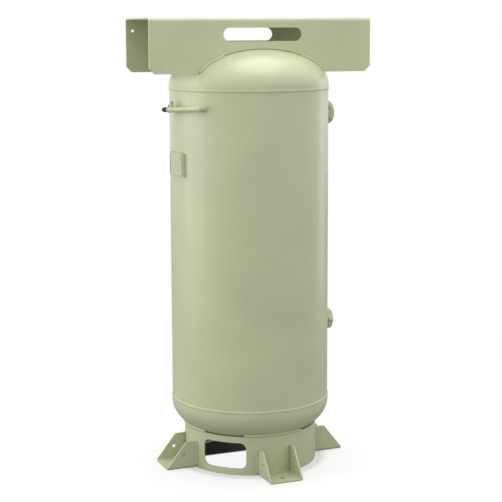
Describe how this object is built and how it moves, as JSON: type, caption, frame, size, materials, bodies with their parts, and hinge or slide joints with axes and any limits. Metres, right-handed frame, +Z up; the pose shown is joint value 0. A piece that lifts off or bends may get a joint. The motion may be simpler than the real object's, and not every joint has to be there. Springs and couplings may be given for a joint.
{
  "type": "air receiver tank",
  "caption": "Upright welded steel air receiver on a ring base with bent feet, with a channel platform on top for a pump and motor and plugged side ports.",
  "frame": {"origin": "on the floor, on the tank's axis", "axes": "+Z up along the tank's axis, front is -Y, the two large ports face +X, the platform runs along X"},
  "size_m": [0.74, 0.612, 1.434],
  "materials": {
    "paint": "satin olive-beige enamel over steel",
    "black_plastic": "moulded black thread protectors",
    "brass": "machined brass, slightly dulled"
  },
  "bodies": {
    "tank": {"shell": "paint", "top_head": "paint", "bottom_head": "paint", "top_girth_weld": "paint", "bottom_girth_weld": "paint", "long_seam_weld": "paint", "base_ring": "paint", "platform": "paint", "foot_front": "paint", "foot_right": "paint", "foot_rear": "paint", "foot_left": "paint", "upper_port_coupling": "paint", "lower_port_coupling": "paint", "upper_port_plug": "paint", "lower_port_plug": "paint", "manifold_elbow": "paint", "manifold_pipe": "paint", "manifold_tee": "paint", "manifold_top_plug": "paint", "data_plate_bracket": "paint", "data_plate": "paint", "data_plate_rivet_1": "paint", "data_plate_rivet_2": "paint", "data_plate_rivet_3": "paint", "data_plate_rivet_4": "paint", "drain_coupling": "paint", "manifold_end_cap": "black_plastic", "manifold_vent_plug": "black_plastic", "drain_cock_body": "brass"},
    "drain_key": {"drain_cock_key": "brass", "drain_cock_nut": "brass"}
  },
  "joints": [
    {"name": "drain_cock_turn", "type": "hinge", "parent": "tank", "child": "drain_key", "pos_m": [0, 0, 0.04], "axis": [0, 1, 0], "range_deg": [0, 90]}
  ]
}
